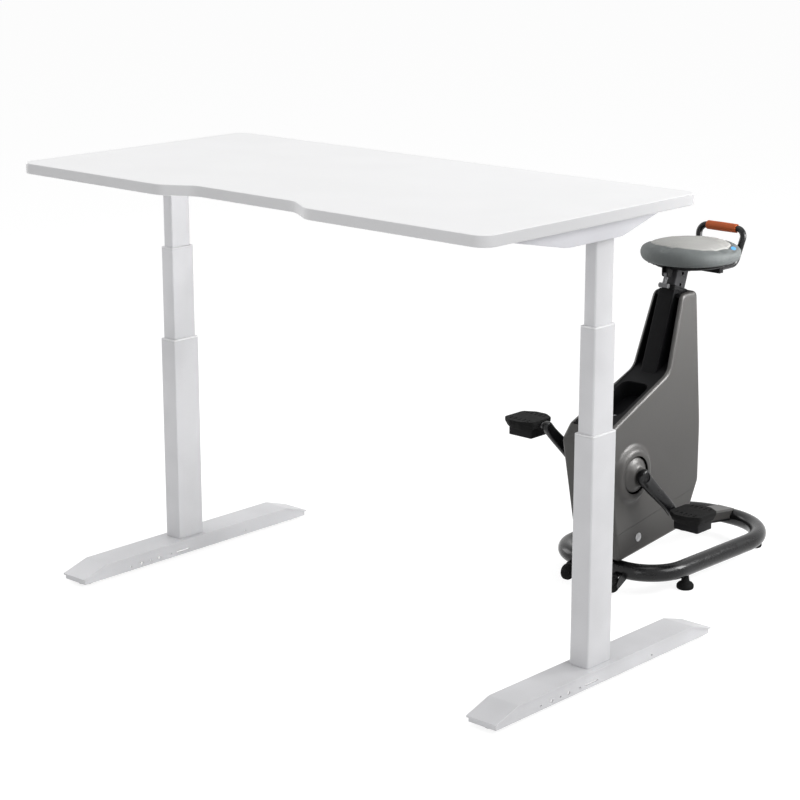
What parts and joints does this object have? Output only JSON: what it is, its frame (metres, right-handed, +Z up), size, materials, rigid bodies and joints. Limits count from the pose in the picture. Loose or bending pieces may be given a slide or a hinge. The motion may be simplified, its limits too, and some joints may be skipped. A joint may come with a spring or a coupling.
{
  "type": "bike trainer desk",
  "caption": "Height-adjustable desk on telescoping columns with a seated pedal trainer behind it: padded seat on an inclined post, belt-driven flywheel, ring-shaped floor tube.",
  "frame": {"origin": "on the floor, under the middle of the bounding box of desk and bike trainer together", "axes": "+Z up; +X along the desk's long edge, to the right of a person standing at the desk; +Y from that person through the desk to the bike trainer"},
  "size_m": [1.4, 1.476, 1.033],
  "materials": {
    "board_white": "matt white laminate",
    "frame_silver": "silver powder coat",
    "frame_white": "white powder coat",
    "guide_plastic": "moulded",
    "black_plastic": "fine grain",
    "black_rubber": "matt",
    "black_steel": "satin black powder coat",
    "graphite_shell": "satin graphite metallic paint",
    "panel_plastic": "satin",
    "knob_grey": "satin",
    "machined_steel": "turned",
    "cast_iron": "as cast, turned rim",
    "seat_skin": "grey artificial leather over foam",
    "grip_tan": "tan artificial leather"
  },
  "bodies": {
    "floor_frames": {"foot_left": "frame_silver", "foot_right": "frame_silver", "foot_glide_left_front": "black_rubber", "foot_glide_left_rear": "black_rubber", "foot_glide_right_front": "black_rubber", "foot_glide_right_rear": "black_rubber", "column_outer_left": "frame_silver", "column_outer_right": "frame_silver", "guide_lower_left": "guide_plastic", "guide_lower_right": "guide_plastic", "base_frame": "black_steel", "beam_cover": "graphite_shell", "levelling_pad_left_front": "black_rubber", "levelling_pad_left_rear": "black_rubber", "levelling_pad_right_front": "black_rubber", "levelling_pad_right_rear": "black_rubber", "main_frame": "black_steel", "shell_left": "graphite_shell", "shell_right": "graphite_shell", "lower_cover": "graphite_shell", "front_panel": "panel_plastic", "crank_bearing": "machined_steel", "drive_belt": "black_rubber", "post_collar": "black_plastic"},
    "lift_stage": {"column_middle_left": "frame_silver", "column_middle_right": "frame_silver", "guide_upper_left": "guide_plastic", "guide_upper_right": "guide_plastic"},
    "lift_top": {"column_inner_left": "frame_silver", "column_inner_right": "frame_silver", "gearbox_left": "black_plastic", "gearbox_right": "black_plastic", "motor_left": "black_steel", "motor_right": "black_steel", "side_bracket_left": "frame_white", "side_bracket_right": "frame_white", "crossbeam": "frame_white", "desktop": "board_white", "control_box": "black_plastic", "handset": "black_plastic"},
    "switch_rocker": {"lift_switch": "knob_grey"},
    "crank_set": {"crank_axle": "machined_steel", "drive_pulley": "black_plastic", "hub_cover_left": "graphite_shell", "hub_cover_right": "graphite_shell", "crank_left": "black_plastic", "crank_right": "black_plastic"},
    "left_pedal": {"pedal_left": "black_rubber"},
    "right_pedal": {"pedal_right": "black_rubber"},
    "flywheel_rotor": {"flywheel": "cast_iron"},
    "tension_dial": {"tension_knob": "knob_grey"},
    "magnet_shoe": {"magnet_arm": "machined_steel"},
    "seat_unit": {"seat_post": "black_steel", "seat_pan": "black_plastic", "seat_cushion": "seat_skin", "carry_handle": "black_steel", "handle_grip": "grip_tan"},
    "release_lever": {"seat_lever": "machined_steel"},
    "left_wheel": {"wheel_left": "black_rubber"},
    "right_wheel": {"wheel_right": "black_rubber"}
  },
  "joints": [
    {"name": "lift_lower", "type": "slide", "parent": "floor_frames", "child": "lift_stage", "axis": [0, 0, 1], "range_m": [-0.18, 0.11]},
    {"name": "lift_upper", "type": "slide", "parent": "lift_stage", "child": "lift_top", "axis": [0, 0, 1], "range_m": [-0.18, 0.11]},
    {"name": "lift_switch_rock", "type": "hinge", "parent": "lift_top", "child": "switch_rocker", "pos_m": [0.45, -0.643, 0.9977], "axis": [1, 0, 0], "range_deg": [-8, 8], "stiffness_Nm_per_rad": 0.2},
    {"name": "crank_spin", "type": "hinge", "parent": "floor_frames", "child": "crank_set", "pos_m": [0.295, 0.212, 0.29], "axis": [1, 0, 0], "continuous": true},
    {"name": "pedal_left_spin", "type": "hinge", "parent": "crank_set", "child": "left_pedal", "pos_m": [0.295, 0.12972, 0.38805], "axis": [1, 0, 0], "continuous": true},
    {"name": "pedal_right_spin", "type": "hinge", "parent": "crank_set", "child": "right_pedal", "pos_m": [0.295, 0.29428, 0.19195], "axis": [1, 0, 0], "continuous": true},
    {"name": "flywheel_spin", "type": "hinge", "parent": "floor_frames", "child": "flywheel_rotor", "pos_m": [0.295, 0.392, 0.27], "axis": [1, 0, 0], "continuous": true},
    {"name": "tension_turn", "type": "hinge", "parent": "floor_frames", "child": "tension_dial", "pos_m": [0.295, 0.22442, 0.40033], "axis": [0, -0.3809, 0.9246], "range_deg": [0, 270]},
    {"name": "magnet_swing", "type": "hinge", "parent": "floor_frames", "child": "magnet_shoe", "pos_m": [0.295, 0.26606, 0.15], "axis": [-1, 0, 0], "range_deg": [0, 6]},
    {"name": "seat_height", "type": "slide", "parent": "floor_frames", "child": "seat_unit", "axis": [0, 0.3256, 0.9455], "range_m": [-0.03, 0.15]},
    {"name": "seat_lever_pull", "type": "hinge", "parent": "seat_unit", "child": "release_lever", "pos_m": [0.295, 0.41864, 0.735], "axis": [-1, 0, 0], "range_deg": [0, 25], "stiffness_Nm_per_rad": 0.1, "springref_deg": -11.46},
    {"name": "wheel_left_spin", "type": "hinge", "parent": "floor_frames", "child": "left_wheel", "pos_m": [0.227, 0.14414, 0.032], "axis": [1, 0, 0], "continuous": true},
    {"name": "wheel_right_spin", "type": "hinge", "parent": "floor_frames", "child": "right_wheel", "pos_m": [0.363, 0.14414, 0.032], "axis": [1, 0, 0], "continuous": true}
  ],
  "couplings": [
    {"joint": "lift_upper", "follows": "lift_lower", "ratio": 1},
    {"joint": "flywheel_spin", "follows": "crank_spin", "ratio": 5.1667},
    {"joint": "magnet_swing", "follows": "tension_turn", "ratio": 0.0222}
  ]
}
